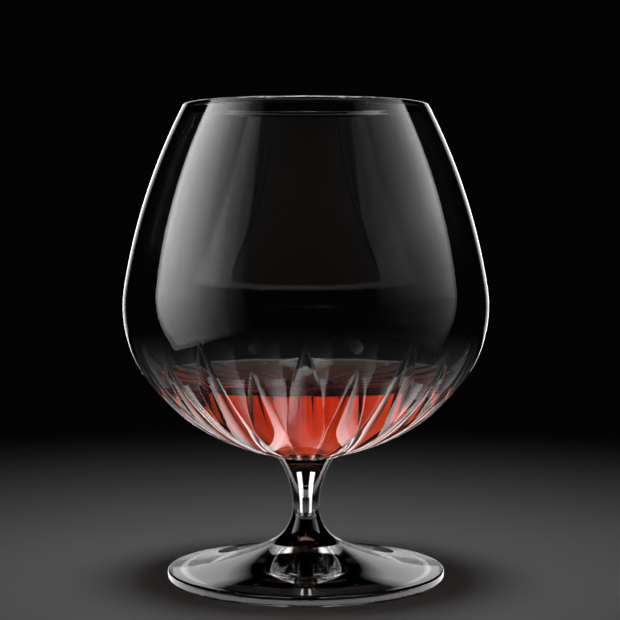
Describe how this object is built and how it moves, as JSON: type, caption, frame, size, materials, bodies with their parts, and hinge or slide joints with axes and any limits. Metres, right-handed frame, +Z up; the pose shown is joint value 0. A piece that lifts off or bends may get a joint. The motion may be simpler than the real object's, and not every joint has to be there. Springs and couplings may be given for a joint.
{
  "type": "brandy snifter",
  "caption": "Stemmed brandy glass: wide round bowl narrowing to the mouth, leaf cuts under the bowl, short waisted stem, spread foot, and a measure of brandy in the bowl.",
  "frame": {"origin": "centre of the ring that the foot stands on, on the table plane", "axes": "+Z up along the axis of the glass, -Y towards the viewer of the picture, +X to the viewer's right"},
  "size_m": [0.102, 0.102, 0.1326],
  "materials": {
    "glass": "clear colourless polished glass",
    "brandy": "clear orange-red liquid"
  },
  "bodies": {
    "root": {"bowl": "glass", "stem": "glass", "foot": "glass", "brandy": "brandy"}
  },
  "joints": []
}
